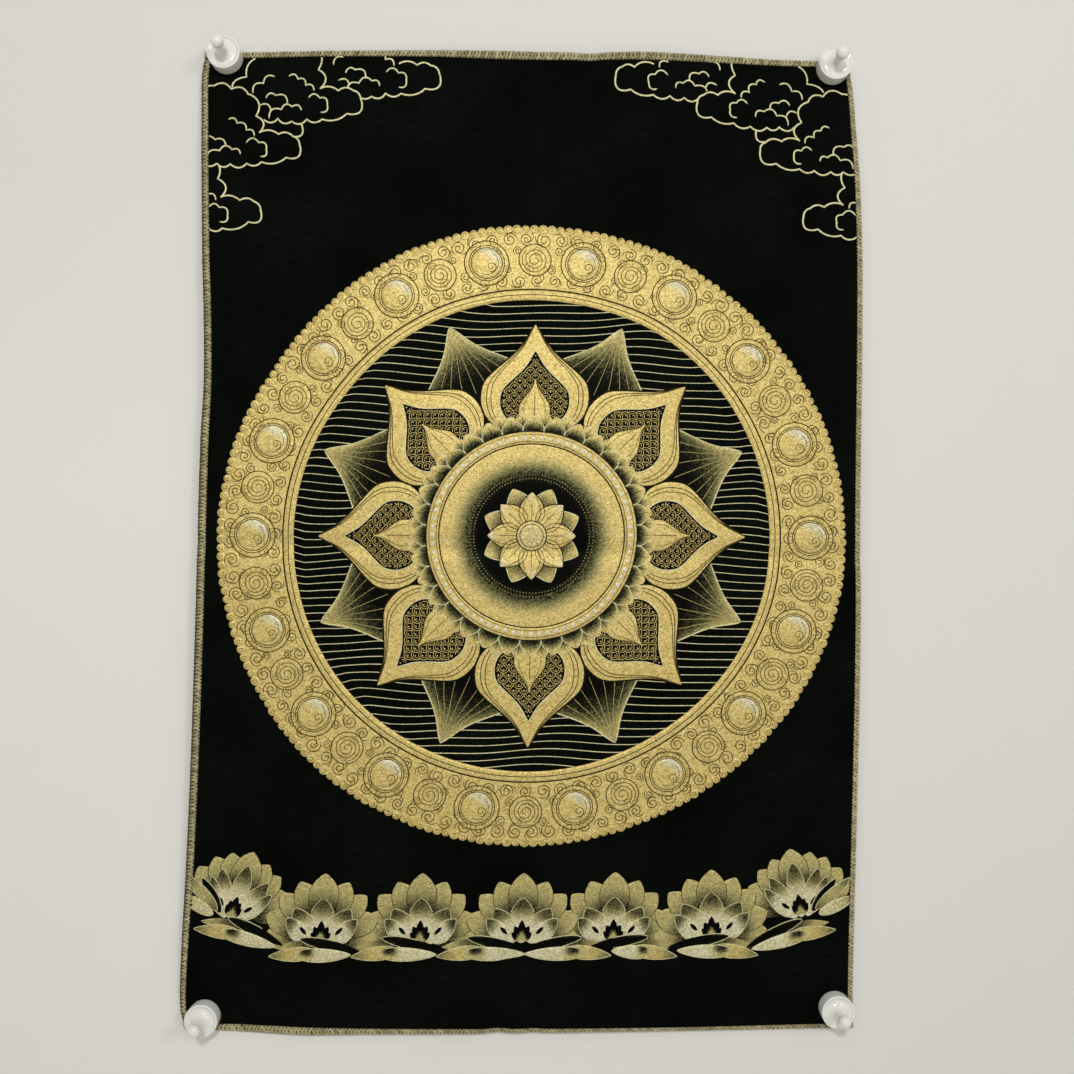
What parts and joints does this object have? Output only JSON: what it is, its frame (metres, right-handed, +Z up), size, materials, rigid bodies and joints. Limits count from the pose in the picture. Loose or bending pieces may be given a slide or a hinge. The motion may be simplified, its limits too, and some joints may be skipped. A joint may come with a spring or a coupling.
{
  "type": "embroidered thangka with corner pins",
  "caption": "Upright black brocade wall hanging with a gold thread design and an overlocked edging, held to a wall by a round magnetic pin with a ball head at each corner.",
  "frame": {"origin": "middle of the top edge, on the plane of the wall that the cloth hangs against", "axes": "+Z up along the height of the cloth, +Y into the wall, +X to the right seen from the front, so the face looks along -Y"},
  "size_m": [0.6267, 0.0409, 0.9104],
  "materials": {
    "ground_cloth": "black satin brocade, close fine weft",
    "edging_thread": "dull gold overlock thread, slanting strands",
    "gold_thread": "gold metallic thread, granular glitter",
    "cream_thread": "pale silver and cream thread",
    "pin_plastic": "smooth glossy white"
  },
  "bodies": {
    "root": {"cloth_panel": "ground_cloth", "edging_top": "edging_thread", "edging_right": "edging_thread", "edging_bottom": "edging_thread", "edging_left": "edging_thread", "pin_top_left": "pin_plastic", "pin_top_right": "pin_plastic", "pin_bottom_left": "pin_plastic", "pin_bottom_right": "pin_plastic"}
  },
  "joints": []
}
